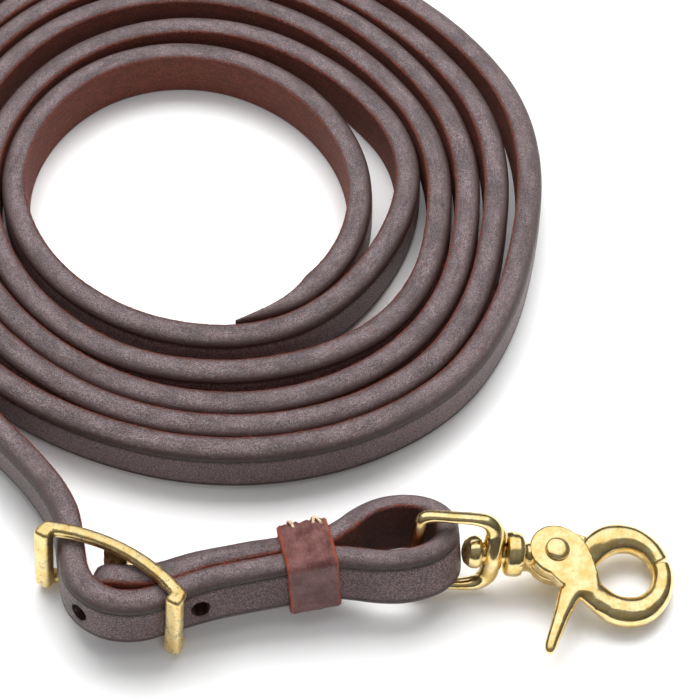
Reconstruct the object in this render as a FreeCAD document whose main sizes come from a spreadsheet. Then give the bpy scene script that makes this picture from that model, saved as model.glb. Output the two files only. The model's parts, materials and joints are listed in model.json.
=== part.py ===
"""Training leash: a flat leather strap wound into a coil, a Conway buckle that closes its
end loop, a sliding keeper, and a cast brass trigger snap on a swivel eye.

Millimetres, +Z up, +X along the snap.  The origin is the bottom centre of the buckle,
strap end and snap; the whole leash rests on z = 0."""
import FreeCAD, Part
import math
import os

V = FreeCAD.Vector
UP = V(0, 0, 1)
os.makedirs("parts", exist_ok=True)
doc = FreeCAD.newDocument("training_leash")

# ---------------------------------------------------------------- driving dimensions
SIZES = (
    ("strap_width", 9.5, "width of the strap, which stands on its edge"),
    ("strap_thick", 4.5, "thickness of the strap in the coil"),
    ("end_thick", 4.1, "thickness of the strap where it is doubled"),
    ("coil_spacing", 4.8, "centre to centre of two turns that touch"),
    ("coil_turns", 5.786, "number of turns of the coil"),
    ("tip_taper", 0.083, "thinned stretch at the free end, in turns"),
    ("strap_rise", 3.0, "height of the strap's lower edge at the buckle"),
    ("hole_radius", 1.5, "buckle holes in the strap"),
    ("buckle_length", 28.5, "buckle, end to end"),
    ("buckle_height", 14.3, "buckle, across the strap"),
    ("bar_width", 2.6, "end bars of the buckle"),
    ("rail_height", 2.0, "upper and lower rails of the buckle"),
    ("rail_depth", 2.2, "depth of the rails"),
    ("rail_radius", 32.3, "outer radius of the arched rails"),
    ("rail_crown", 4.6, "outer face of the arch, from the chord"),
    ("centre_bar_radius", 0.95, "centre bar of the buckle"),
    ("peg_radius", 1.0, "fixed peg of the buckle"),
    ("peg_length", 7.8, "peg, from the centre bar"),
    ("keeper_length", 8.4, "keeper, along the strap"),
    ("keeper_thick", 1.0, "leather of the keeper"),
    ("keeper_gap", 0.15, "slack between keeper and strap"),
    ("eye_half", 7.3, "half the outer height of the swivel eye"),
    ("eye_inner_half", 6.1, "half the opening of the swivel eye"),
    ("eye_bar", 2.5, "thickness of the eye's bar and arms"),
    ("eye_plate_depth", 5.2, "depth of the plate that the shank turns in"),
    ("shank_radius", 1.7, "swivel shank"),
    ("running_gap", 0.05, "radial clearance of swivel and pivot"),
    ("head_radius", 2.8, "peened head of the shank"),
    ("collar_radius", 3.7, "collar of the snap"),
    ("neck_radius", 2.5, "neck behind the collar"),
    ("disc_radius", 4.6, "pivot discs of snap and trigger"),
    ("disc_face", 2.3, "outer face of each disc from the middle plane"),
    ("split_gap", 0.1, "half the gap between snap and trigger"),
    ("rivet_radius", 1.0, "pivot rivet"),
    ("rivet_head", 2.1, "radius of the rivet's heads"),
    ("ring_tube", 2.05, "radius of the ring's section"),
    ("ring_a", 6.5, "ring centre line, half length"),
    ("ring_b", 7.3, "ring centre line, half width"),
    ("recess_radius", 3.3, "recess for the spring in each disc"),
    ("recess_depth", 0.85, "depth of that recess"),
    ("spring_wire", 0.28, "radius of the spring wire"),
    ("spring_radius", 2.4, "radius of the spring's turns"),
)
sheet = doc.addObject("Spreadsheet::Sheet", "Sizes")
for row, (alias, value, meaning) in enumerate(SIZES, 1):
    sheet.set("A%d" % row, meaning)
    sheet.set("B%d" % row, str(value))
    sheet.setAlias("B%d" % row, alias)
doc.recompute()


def size(alias):
    """A driving dimension, read from the sheet."""
    return float(sheet.get(alias))


STRAP_W = size("strap_width")
STRAP_T = size("strap_thick")
END_T = size("end_thick")
RISE = size("strap_rise")

# ---------------------------------------------------------------- places of the frames
ORIGIN = V(-0.35, 0.31, 0)
COIL_CENTRE = V(-30.3, 84.1, 0) + ORIGIN
BUCKLE_YAW = -27
BUCKLE_LEAN = 8
STRAP_END_YAW = 12.2
STRAP_END_LEAN = 12
SNAP_YAW = 2
SNAP_PITCH = 9.5
EYE_LEAN = 22
SNAP_ROLL = 6


def frame(place, yaw, pitch=0, roll=0):
    """Placement turned about Z, then about its own Y, then about its own X."""
    turn = FreeCAD.Rotation(UP, yaw)
    turn = turn.multiply(FreeCAD.Rotation(V(0, 1, 0), pitch))
    turn = turn.multiply(FreeCAD.Rotation(V(1, 0, 0), roll))
    return FreeCAD.Placement(place + ORIGIN, turn)


BUCKLE = frame(V(-39.73, -3.64, 7.75), BUCKLE_YAW, 0, -BUCKLE_LEAN)
BUCKLE_ACROSS = FreeCAD.Rotation(UP, BUCKLE_YAW).multVec(V(1, 0, 0))
BUCKLE_DEPTH = UP.cross(BUCKLE_ACROSS)
PEG_X = -1.6
STRAP_END = frame(V(-18.2, -1.4, 7.7), STRAP_END_YAW, 0, -STRAP_END_LEAN)
SWIVEL_AT = V(10.9, 3.55, 9.56)
EYE = frame(SWIVEL_AT, SNAP_YAW, SNAP_PITCH, -EYE_LEAN)
SNAP = frame(SWIVEL_AT, SNAP_YAW, SNAP_PITCH, SNAP_ROLL)
PIVOT = V(23.45, 0.2, 0)
RING_CENTRE = V(35.1, -1.9, 0)

# ---------------------------------------------------------------- small helpers
nodes = {}


def keep(name, shape, place):
    """Add a shape made here as a sub-part."""
    part = doc.addObject("Part::Feature", name)
    part.Label = name
    part.Shape = shape
    part.Placement = place
    nodes[name] = part
    return part


def named(part, name, place):
    """Make a finished document object a sub-part."""
    part.Label = name
    part.Placement = place
    nodes[name] = part
    return part


def primitive(kind, at, axis=UP, **values):
    """A Part primitive whose sizes are expressions on the sheet, or plain numbers."""
    part = doc.addObject("Part::" + kind, kind)
    for key, value in values.items():
        if isinstance(value, str):
            part.setExpression(key, value)
        else:
            setattr(part, key, value)
    part.Placement = FreeCAD.Placement(at, FreeCAD.Rotation(UP, axis))
    return part


def fuse(parts):
    union = doc.addObject("Part::MultiFuse", "Union")
    union.Shapes = parts
    return union


def cut(base, tool):
    result = doc.addObject("Part::Cut", "Cut")
    result.Base = base
    result.Tool = tool
    return result


def common(base, tool):
    result = doc.addObject("Part::Common", "Common")
    result.Base = base
    result.Tool = tool
    return result


def rounded_box(low, high, radius):
    """Box with its four edges along Y rounded."""
    box = Part.makeBox(*(high - low), low)
    edges = [e for e in box.Edges if abs(e.tangentAt(0).y) > 0.9]
    return box.makeFillet(radius, edges)


def prism(points, z_low, z_high):
    """Flat-sided solid on a closed outline of straight edges."""
    outline = Part.makePolygon([V(x, y, z_low) for x, y in points + points[:1]])
    return Part.Face(outline).extrude(V(0, 0, z_high - z_low))


def smooth_prism(points, z_low, z_high):
    """Solid on a smooth closed outline."""
    curve = Part.BSplineCurve()
    curve.interpolate(Points=[V(x, y, z_low) for x, y in points], PeriodicFlag=True)
    return Part.Face(Part.Wire(curve.toShape())).extrude(V(0, 0, z_high - z_low))


# ---------------------------------------------------------------- coil
# Radius of the innermost turn every twelfth of a turn, from one step before its start.
STEPS = 12
FIRST_TURN = (27.75, 30.9, 34.6, 34.0, 31.8, 30.05, 29.9, 31.2, 32.05, 31.8, 31.65, 31.4,
              32.55, 35.7, 39.4)
TIP_TURN = 0.047
COIL_END = TIP_TURN + size("coil_turns")
# Slack between neighbouring turns: place (turns), height (mm), spread (turns).
SLACK = ((1.27, 3.6, .075), (1.41, 2.5, .182), (1.99, 3.0, .147), (2.15, 4.7, .064),
         (2.56, 3.6, .178), (3.05, 2.4, .083), (3.45, 1.5, .174), (4.12, 1.0, .042),
         (4.3, 1.2, .06), (4.89, 1.4, .042), (5.32, 1.8, .124))


def coil_radius(turn):
    """Centre-line radius; each turn lies on the one inside it, plus some slack."""
    if turn >= 1:
        slack = sum(h * math.exp(-((turn - at) / wide) ** 2) for at, h, wide in SLACK)
        return coil_radius(turn - 1) + size("coil_spacing") + slack
    step = int(turn * STEPS)
    u = turn * STEPS - step
    a, b, c, d = FIRST_TURN[step:step + 4]
    return 0.5 * (2 * b + (c - a) * u + (2 * a - 5 * b + 4 * c - d) * u * u
                  + (3 * b - a - 3 * c + d) * u ** 3)


def coil_point(turn, offset):
    angle = math.radians(360 * turn - 90)
    r = coil_radius(turn) + offset
    return COIL_CENTRE + V(r * math.cos(angle), r * math.sin(angle), 0)


def arcs_through(points):
    """Arcs through every group of three points that share their ends."""
    return [Part.Arc(*points[i:i + 3]).toShape() for i in range(0, len(points) - 2, 2)]


def make_coil():
    count = 2 * round(size("coil_turns") * STEPS)
    turns = [TIP_TURN + (COIL_END - TIP_TURN) * i / count for i in range(count + 1)]
    outer = [coil_point(s, STRAP_T / 2) for s in turns]
    inner = []
    for s in turns:
        full = min(1.0, 0.12 + 0.88 * (s - TIP_TURN) / size("tip_taper"))
        inner.append(coil_point(s, STRAP_T / 2 - STRAP_T * full))
    inner.reverse()
    edges = arcs_through(outer) + [Part.makeLine(outer[-1], inner[0])]
    edges += arcs_through(inner) + [Part.makeLine(inner[-1], outer[0])]
    keep("strap_coil", Part.Face(Part.Wire(edges)).extrude(UP * STRAP_W),
         FreeCAD.Placement())


# ---------------------------------------------------------------- strap runs
# Centre line of the strap from the coil to the buckle, and through the buckle.
LEAD = [(-79.68, 55.73), (-73.4, 41.8), (-62.2, 29.2), (-54.3, 19.9), (-48.6, 10.6),
        (-47.75, 6.5)]
BULGE = [(-47.75, 6.5), (-47.3, 2.1), (-45.2, -4.6), (-40.3, -8.7), (-34.4, -9.0),
         (-29.4, -6.5), (-25.62, -5.10)]
TAIL = [(-41.7, -3.1), (-37.3, -3.8), (-32.3, -3.4), (-26.5, -1.0)]
ARC_SHARE = 0.45
LEAD_LIFT = 0.03  # keeps the climbing lead's lowest corner off the floor


def ribbon(name, route, thick, z_low, height):
    """Strap standing on its edge: straight runs joined by tangent arcs."""
    route = [V(x, y, z_low) for x, y in route]
    sides = {1: [], -1: []}
    radii = []
    length = 0
    last = {side: None for side in sides}

    def add_line(side, point):
        if last[side] is not None and (point - last[side]).Length > 1e-6:
            sides[side].append(Part.makeLine(last[side], point))
        last[side] = point

    for i, point in enumerate(route):
        ahead = (route[i + 1] - point).normalize() if i + 1 < len(route) else None
        behind = (point - route[i - 1]).normalize() if i else ahead
        ahead = ahead or behind
        if i in (0, len(route) - 1):
            for side in sides:
                add_line(side, point + UP.cross(ahead) * side * thick / 2)
            continue
        run_in = (point - route[i - 1]).Length
        run_out = (route[i + 1] - point).Length
        turn = behind.getAngle(ahead)
        reach = ARC_SHARE * min(run_in, run_out)
        radius = reach / math.tan(turn / 2)
        radii.append(radius)
        length += radius * turn - 2 * reach
        left = 1 if behind.cross(ahead).z > 0 else -1
        start = point - behind * reach
        end = point + ahead * reach
        centre = start + UP.cross(behind) * left * radius
        middle = (point - centre).normalize()
        for side in sides:
            r = radius - left * side * thick / 2
            first = centre + (start - centre).normalize() * r
            final = centre + (end - centre).normalize() * r
            add_line(side, first)
            sides[side].append(Part.Arc(first, centre + middle * r, final).toShape())
            last[side] = final
    length += sum((b - a).Length for a, b in zip(route, route[1:]))
    one, two = sides[1], sides[-1]
    ends = [Part.makeLine(one[-1].Vertexes[-1].Point, two[-1].Vertexes[-1].Point),
            Part.makeLine(two[0].Vertexes[0].Point, one[0].Vertexes[0].Point)]
    outline = Part.Wire(Part.__sortEdges__(one + two + ends))
    solid = Part.Face(outline).extrude(UP * height)
    print("%s: length %.1f mm, arc radii %s mm, volume off by %.2f%%" % (
        name, length, " ".join("%.0f" % r for r in radii),
        100 * (solid.Volume / (length * thick * height) - 1)))
    return solid


def slot_tool(at, direction, radius, length):
    """Round bar used to punch a buckle hole."""
    return Part.makeCylinder(radius, length, at, direction)


def make_strap():
    lead = ribbon("strap_lead", LEAD, STRAP_T, 0, STRAP_W)
    start = V(*LEAD[0], 0)
    along = V(*LEAD[-1], 0) - start
    slope = math.degrees(math.asin(RISE / along.Length))
    climb = FreeCAD.Rotation(UP.cross(along), -slope)
    keep("strap_lead", lead, FreeCAD.Placement(ORIGIN + UP * LEAD_LIFT, climb, start))

    hole = size("hole_radius")
    lean = FreeCAD.Placement(ORIGIN, FreeCAD.Rotation(BUCKLE_ACROSS, -BUCKLE_LEAN),
                             BUCKLE.Base - ORIGIN)
    punch = slot_tool(BUCKLE.Base - ORIGIN + BUCKLE_ACROSS * PEG_X - BUCKLE_DEPTH * 12,
                      BUCKLE_DEPTH, hole, 24)
    bulge = ribbon("strap_bulge", BULGE, END_T, RISE, STRAP_W).cut(punch)
    keep("strap_bulge", bulge, lean)
    tail = ribbon("strap_tail_end", TAIL, END_T, RISE, STRAP_W)
    tip = V(*TAIL[0], RISE + STRAP_W / 2) + V(STRAP_W / 2, -10, 0)
    round_end = Part.makeCylinder(STRAP_W / 2, 20, tip, V(0, 1, 0))
    rest = Part.makeBox(40, 20, STRAP_W, V(tip.x, tip.y, RISE))
    keep("strap_tail_end", tail.common(round_end.fuse(rest)).cut(punch), lean)

    half = STRAP_W / 2
    front = (-8.0, -END_T)
    back = (-8.0, END_T)
    loop = [(16.2, -END_T), (19.0, -5.7), (22.5, -7.2), (27.0, -7.8), (32.0, -6.9),
            (35.3, -4.6), (36.8, -1.2), (36.8, 2.0), (35.0, 4.6), (32.0, 6.5),
            (28.5, 8.1), (24.5, 8.3), (20.6, 7.1), (18.2, 5.5), (16.2, END_T)]
    curve = Part.BSplineCurve()
    curve.interpolate([V(x, y, -half) for x, y in loop])
    sides = Part.makePolygon([V(*loop[-1], -half), V(*back, -half), V(*front, -half),
                              V(*loop[0], -half)])
    outer = Part.Face(Part.Wire(Part.__sortEdges__([curve.toShape()] + sides.Edges)))
    outer = outer.extrude(UP * STRAP_W)
    opening = [(15.0, 0.0), (19.3, 2.0), (23.0, 3.9), (26.7, 4.9), (30.0, 4.3),
               (32.6, 2.4), (32.9, -0.2), (32.4, -2.8), (29.9, -4.3), (26.2, -4.4),
               (22.0, -2.8), (18.2, -1.5)]
    end = outer.cut(smooth_prism(opening, -half, half))
    next_hole = slot_tool(V(-6.2, -10, 0), V(0, 1, 0), hole, 20)
    keep("strap_end_loop", end.cut(next_hole), STRAP_END)


# ---------------------------------------------------------------- buckle
def make_buckle():
    """Conway buckle: arched frame, two end bars, centre bar and fixed peg in one casting."""
    low = -size("buckle_height") / 2
    centre = V(0, size("rail_crown") - size("rail_radius"), low)
    wall = cut(primitive("Cylinder", centre, Radius="Sizes.rail_radius",
                         Height="Sizes.buckle_height"),
               primitive("Cylinder", centre, Radius="Sizes.rail_radius - Sizes.rail_depth",
                         Height="Sizes.buckle_height"))
    half = size("buckle_length") / 2 - 0.6
    reach = primitive("Box", V(-half, -3, low), Length=2 * half, Width=20,
                      Height="Sizes.buckle_height")
    window = primitive("Box", V(-20, -10, low + size("rail_height")), Length=40,
                       Width=30, Height="Sizes.buckle_height - 2 * Sizes.rail_height")
    pieces = [cut(common(wall, reach), window)]
    for side in (-1, 1):
        at = V(side * (size("buckle_length") - size("bar_width")) / 2, -0.6, low)
        pieces.append(primitive("Cylinder", at, Radius="Sizes.bar_width / 2",
                                Height="Sizes.buckle_height"))
    bar_at = V(PEG_X, 4.0, low + 1)
    pieces.append(primitive("Cylinder", bar_at, Radius="Sizes.centre_bar_radius",
                            Height="Sizes.buckle_height - 2"))
    pieces.append(primitive("Cylinder", V(PEG_X, bar_at.y, 0), V(0, -1, 0),
                            Radius="Sizes.peg_radius", Height="Sizes.peg_length"))
    named(fuse(pieces), "conway_buckle", BUCKLE)


# ---------------------------------------------------------------- keeper
KEEPER_X = 7.5


def make_keeper():
    """Leather band round both layers, its ends butted and sewn at the back."""
    gap, thick = size("keeper_gap"), size("keeper_thick")
    half_y = END_T + gap
    half_z = STRAP_W / 2 + gap
    span = size("keeper_length")
    inner = Part.makeBox(span + 2, 2 * half_y, 2 * half_z, V(KEEPER_X - 1, -half_y, -half_z))
    outer = Part.makeBox(span, 2 * (half_y + thick), 2 * (half_z + thick),
                         V(KEEPER_X, -half_y - thick, -half_z - thick))
    edges = [e for e in outer.Edges if abs(e.tangentAt(0).x) > 0.9]
    keep("keeper", outer.makeFillet(1.1, edges).cut(inner), STRAP_END)
    stitches = []
    for i in range(4):
        at = V(KEEPER_X + 1.2 + 2 * i, half_y + thick + 0.24, 2.2)
        stitches.append(Part.makeCylinder(0.22, 2.2, at, V(0.25, 0, 1)))
    keep("keeper_stitches", Part.makeCompound(stitches), STRAP_END)


# ---------------------------------------------------------------- swivel eye and snap
PLATE = (11.1, 14.7)


def make_eye():
    half, inner = size("eye_half"), size("eye_inner_half")
    bar, depth = size("eye_bar"), size("eye_plate_depth")
    body = rounded_box(V(-bar / 2, -bar / 2, -half), V(PLATE[1], bar / 2, half), 3.6)
    low = inner + 0.3
    hole = rounded_box(V(bar / 2, -9, -low), V(PLATE[0], 9, inner), 1.0)
    plate = rounded_box(V(PLATE[0] - 1, -depth / 2, -half), V(PLATE[1], depth / 2, half), 2.2)
    plate = plate.common(rounded_box(V(-bar / 2, -depth, -half), V(PLATE[1], depth, half), 3.6))
    bore = Part.makeCylinder(size("shank_radius") + size("running_gap"), 30, V(5, 0, 0),
                             V(1, 0, 0))
    square = Part.makeBox(bar + 0.2, 6, low + inner, V(-bar / 2 - 0.1, -3, -low))
    round_bar = Part.makeCylinder(bar / 2 - 0.06, low + inner + 0.8, V(0, 0, -low - 0.4))
    eye = body.fuse(plate).cut(hole).cut(bore).cut(square).fuse(round_bar)
    keep("swivel_eye", eye, EYE)


def make_ring_part(start, end):
    """Tube along the ring between two angles; the ring is longest across the snap."""
    a, b = size("ring_a"), size("ring_b")
    count = max(5, round((end - start) / 15) + 1)
    points = []
    for i in range(count):
        t = math.radians(start + (end - start) * i / (count - 1))
        points.append(RING_CENTRE + V(a * math.cos(t), b * math.sin(t), 0))
    curve = Part.BSplineCurve()
    curve.interpolate(points)
    path = Part.Wire(curve.toShape())
    along = curve.tangent(curve.FirstParameter)[0]
    section = Part.Wire(Part.makeCircle(size("ring_tube"), points[0], along))
    return path.makePipeShell([section], True, True)


SEAM = 20
HEAD_X = 7.7
FACE = size("disc_face")
GAP = size("split_gap")


def make_snap_body():
    """Head, shank, collar, neck, rear disc and upper arm."""
    x_axis = V(1, 0, 0)
    head = size("head_radius")
    dome = Part.makeSphere(head, V(HEAD_X + head, 0, 0))
    dome = dome.common(Part.makeBox(3.0, 4 * head, 4 * head, V(HEAD_X, -2 * head, -2 * head)))
    shank = Part.makeCylinder(size("shank_radius"), 8, V(9, 0, 0), x_axis)
    collar = Part.makeCylinder(size("collar_radius"), 2.9, V(14.9, 0, 0), x_axis)
    collar = collar.makeFillet(0.7, [e for e in collar.Edges if e.Closed])
    neck = Part.makeCylinder(size("neck_radius"), 1.4, V(17.3, 0, 0), x_axis)
    link = Part.makeBox(5, 4.6, FACE - 0.3 - GAP, V(17.6, -2.3, -FACE + 0.3))
    disc = Part.makeCylinder(size("disc_radius"), FACE - GAP, PIVOT - UP * FACE)
    tube = size("ring_tube")
    web = prism([(23.0, 4.7), (30.2, 5.6), (32.0, 2.8), (30.2, 0.6), (28.6, -2.6),
                 (24.0, -3.0)], -tube, -GAP)
    arm = make_ring_part(SEAM, 136)
    body = disc
    for piece in (link, neck, collar, shank, dome, web, arm):
        body = body.fuse(piece)
    recess = Part.makeCylinder(size("recess_radius"), size("recess_depth"),
                               PIVOT - UP * (GAP + size("recess_depth")))
    bore = Part.makeCylinder(size("rivet_radius") + 0.02, 12, PIVOT - UP * 6)
    keep("snap_body", body.cut(recess).cut(bore), SNAP)


def make_trigger():
    """Front disc, thumb lever and lower jaw in one casting."""
    tube = size("ring_tube")
    disc = Part.makeCylinder(size("disc_radius"), FACE - GAP, PIVOT + UP * GAP)
    web = prism([(25.0, 4.3), (27.5, 3.3), (29.0, 1.1), (29.9, -1.2), (30.4, -3.2),
                 (31.4, -5.6), (31.6, -8.0), (29.4, -8.9), (26.9, -8.6), (22.6, -4.4)],
                GAP, tube)
    lever = prism([(20.6, -3.4), (22.3, -8.0), (22.0, -12.2), (20.6, -17.2), (21.4, -18.2),
                   (22.8, -17.6), (24.5, -12.2), (25.4, -9.2), (28.0, -8.4), (25.0, -3.0)],
                  GAP, 1.9)
    jaw = make_ring_part(204, 360 + SEAM - 2.5)
    gate = disc
    for piece in (web, lever, jaw):
        gate = gate.fuse(piece)
    recess = Part.makeCylinder(size("recess_radius"), size("recess_depth"),
                               PIVOT + UP * GAP)
    bore = Part.makeCylinder(size("rivet_radius") + size("running_gap"), 12,
                             PIVOT - UP * 6)
    keep("trigger_gate", gate.cut(recess).cut(bore), SNAP)


def make_rivet():
    shaft = primitive("Cylinder", V(0, 0, -FACE - 0.4), Radius="Sizes.rivet_radius",
                      Height="2 * Sizes.disc_face + 0.8")
    heads = [primitive("Cylinder", V(0, 0, z), Radius="Sizes.rivet_head", Height=0.6)
             for z in (FACE + 0.05, -FACE - 0.65)]
    named(fuse([shaft] + heads), "pivot_rivet",
          SNAP.multiply(FreeCAD.Placement(PIVOT, FreeCAD.Rotation())))


def make_spring():
    """Torsion spring round the rivet, wound in the recess between the discs."""
    wire, radius = size("spring_wire"), size("spring_radius")
    turns = [Part.makeTorus(radius, wire, V(0, 0, z)) for z in (-0.6, 0, 0.6)]
    keep("gate_spring", Part.makeCompound(turns),
         SNAP.multiply(FreeCAD.Placement(PIVOT, FreeCAD.Rotation())))


make_coil()
make_strap()
make_buckle()
make_keeper()
make_eye()
make_snap_body()
make_trigger()
make_rivet()
make_spring()
doc.recompute()

for item in doc.Objects:
    if {"Invalid", "Error"} & set(item.State):
        raise RuntimeError("%s: %s" % (item.Label, item.State))
for name, part in nodes.items():
    if part.Shape.isNull() or not part.Shape.isValid():
        raise RuntimeError("bad shape: " + name)
    part.Shape.exportStep("parts/%s.step" % name)
    box = part.Shape.BoundBox
    print("%-16s x %7.2f %7.2f  y %7.2f %7.2f  z %6.2f %6.2f  solids %d" % (
        name, box.XMin, box.XMax, box.YMin, box.YMax, box.ZMin, box.ZMax,
        len(part.Shape.Solids)))
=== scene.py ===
"""Looks of the training leash: strap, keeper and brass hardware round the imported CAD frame."""
import json
import math
import random
from types import SimpleNamespace

import bmesh
import bpy
import numpy as np
from mathutils import Matrix, Vector, kdtree, noise


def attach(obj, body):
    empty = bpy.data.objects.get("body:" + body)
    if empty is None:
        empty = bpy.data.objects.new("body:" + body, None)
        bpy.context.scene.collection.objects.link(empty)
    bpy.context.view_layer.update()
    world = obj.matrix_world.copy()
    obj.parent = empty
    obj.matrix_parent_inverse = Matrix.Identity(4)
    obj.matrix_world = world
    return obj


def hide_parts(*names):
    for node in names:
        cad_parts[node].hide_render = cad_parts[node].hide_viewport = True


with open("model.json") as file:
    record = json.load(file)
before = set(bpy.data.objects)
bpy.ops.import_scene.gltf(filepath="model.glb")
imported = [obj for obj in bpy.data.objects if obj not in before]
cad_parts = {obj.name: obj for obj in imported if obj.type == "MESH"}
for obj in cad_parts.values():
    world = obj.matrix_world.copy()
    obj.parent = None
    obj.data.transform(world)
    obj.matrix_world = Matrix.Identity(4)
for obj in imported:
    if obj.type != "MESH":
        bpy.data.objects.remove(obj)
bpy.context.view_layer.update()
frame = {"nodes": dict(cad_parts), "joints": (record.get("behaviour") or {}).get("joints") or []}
random.seed(7)

MM = 0.001
scene = bpy.context.scene

# ---------------------------------------------------------------- sizes and places, mm
ORIGIN = Vector((-0.35, 0.31, 0))
UP = Vector((0, 0, 1))
STRAP_W = 9.5
COIL_T = 4.5
END_T = 4.1
LOOP_T = 3.75
BACK_T = 4.6


def placed(place, yaw, pitch=0, roll=0):
    """Frame turned about Z, then its own Y, then its own X."""
    turn = Matrix.Rotation(math.radians(yaw), 4, "Z")
    turn = turn @ Matrix.Rotation(math.radians(pitch), 4, "Y")
    turn = turn @ Matrix.Rotation(math.radians(roll), 4, "X")
    return Matrix.Translation(Vector(place) + ORIGIN) @ turn


# Degrees that the buckle, the doubled run and the loop lean back.
BUCKLE_LEAN = 8
STRAP_END_LEAN = 12
LOOP_LEAN = 6
# Point and direction in the floor's plane that the bulge and the tail lean about.
BUCKLE_BASE = (-39.73, -3.64, 7.75)
BUCKLE_YAW = -27
BUCKLE = placed((-39.3, -2.9, 7.75), -30, 0, -BUCKLE_LEAN)
STRAP_END = placed((-18.2, -1.4, 7.7), 12.2, 0, -STRAP_END_LEAN)
# Centre bar and peg, along the buckle.
PEG_X = -1.6


def joint(name):
    return next(j for j in frame["joints"] if j["name"] == name)


def axes_frame(place, along, normal):
    """Frame at a joint, X along one axis and Z along another."""
    x = Vector(along).normalized()
    y = Vector(normal).cross(x).normalized()
    turn = Matrix((x, y, x.cross(y))).transposed().to_4x4()
    return Matrix.Translation(Vector(place) / MM) @ turn


SWIVEL = joint("snap_swivel")
EYE = axes_frame(SWIVEL["pos_m"], SWIVEL["axis"], joint("eye_swing")["axis"])
SNAP = axes_frame(SWIVEL["pos_m"], SWIVEL["axis"],
                  -Vector(joint("trigger_open")["axis"]))
PIVOT = Vector((23.45, 0.2, 0))

# ---------------------------------------------------------------- camera
lens = bpy.data.cameras.new("camera")
lens.sensor_width = 36
lens.lens = 128.57
lens.clip_start = 0.01
camera = bpy.data.objects.new("camera", lens)
camera.location = (-0.35 * MM, -212.19 * MM, 362.6 * MM)
camera.rotation_euler = (math.radians(36), 0, 0)
scene.collection.objects.link(camera)
scene.camera = camera

# ---------------------------------------------------------------- route of the strap
STEPS = 12
# Radius of the innermost turn, STEPS to a turn, from one step before its start, read
# off a copy of the photograph unrolled about the coil's centre.
FIRST_TURN = (27.75, 30.9, 34.6, 34.0, 31.8, 30.05, 29.9, 31.2, 32.05, 31.8, 31.65, 31.4,
              32.55, 35.7, 39.4)
TIP_TURN = 0.047
COIL_TURNS = 5.786
# The inner tip is thinned over this share of a turn of this radius, to this thickness.
TIP_TAPER = 0.083
TIP_RADIUS = 31
TIP_THIN = 0.12
COIL_SPACING = 4.8
COIL_CENTRE = Vector((-30.3, 84.1, 0)) + ORIGIN
# Slack between neighbouring turns: place (turns), height (mm), spread (turns).
# Not chosen by hand: a scratch program fitted these, by least squares, to such readings.
SLACK = ((1.27, 3.6, .075), (1.41, 2.5, .182), (1.99, 3.0, .147), (2.15, 4.7, .064),
         (2.56, 3.6, .178), (3.05, 2.4, .083), (3.45, 1.5, .174), (4.12, 1.0, .042),
         (4.3, 1.2, .06), (4.89, 1.4, .042), (5.32, 1.8, .124))


def coil_radius(turn):
    """Centre-line radius; each turn lies on the one inside it, plus some slack."""
    if turn >= 1:
        slack = sum(h * math.exp(-((turn - at) / wide) ** 2) for at, h, wide in SLACK)
        return coil_radius(turn - 1) + COIL_SPACING + slack
    step = int(turn * STEPS)
    u = turn * STEPS - step
    a, b, c, d = FIRST_TURN[step:step + 4]
    return 0.5 * (2 * b + (c - a) * u + (2 * a - 5 * b + 4 * c - d) * u * u
                  + (3 * b - a - 3 * c + d) * u ** 3)


# Points of the centre line after the coil. The first is the coil's end as that program
# printed it; the others are chosen by hand.
LEAD = [(-79.68, 55.73, 4.75), (-73.4, 41.8, 5.45), (-62.2, 29.2, 6.15),
        (-53.6, 19.9, 6.6), (-47.5, 10.6, 6.95)]
LEAD_END = Vector((-46.6, 6.5, 7.05)) + ORIGIN
BULGE = [(-46.1, 2.1), (-44.9, -4.4), (-40.3, -8.5), (-34.4, -8.9), (-29.4, -6.5)]
TAIL = [(-20.8, 1.15), (-26.5, -.3), (-32.3, -2.9), (-37.3, -3.3),
        (-42.6, -2.2)]
# The doubled run and the end loop, in the strap end's own frame.
END_LOOP = [(-5, -2.05), (2, -2.05), (9, -2.05), (14.5, -2.1), (18.3, -3.4),
            (22.3, -5.3), (26.8, -6.35), (31.6, -5.75), (34.6, -3.5), (35.4, -.2),
            (35.1, 2.6), (32.9, 5.2), (29.2, 6.75), (25.2, 6.9), (21.6, 5.7),
            (18.3, 3.6), (14.5, 2.15), (10, 2.15), (4, 2.45)]
POINTS_PER_TURN = 24


def leaned(x, y):
    """A point of the bulge or tail, leaning back with the buckle."""
    base = Vector(BUCKLE_BASE)
    across = Matrix.Rotation(math.radians(BUCKLE_YAW), 3, "Z") @ Vector((1, 0, 0))
    turn = Matrix.Rotation(math.radians(-BUCKLE_LEAN), 3, across)
    return base + turn @ (Vector((x, y, base.z)) - base) + ORIGIN


def route_points():
    points = []
    widen = 1 / math.cos(math.pi / POINTS_PER_TURN)
    for i in range(int(COIL_TURNS * POINTS_PER_TURN)):
        turn = TIP_TURN + i / POINTS_PER_TURN
        angle = math.radians(360 * turn - 90)
        r = coil_radius(turn) * (widen if i else 1)
        points.append(COIL_CENTRE + Vector((r * math.cos(angle), r * math.sin(angle),
                                            STRAP_W / 2)))
    points += [Vector(p) + ORIGIN for p in LEAD]
    points += [leaned(x, y) for x, y in BULGE]
    points += [STRAP_END @ Vector((x, y, 0)) for x, y in END_LOOP]
    points += [leaned(x, y) for x, y in TAIL]
    return points


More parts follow.
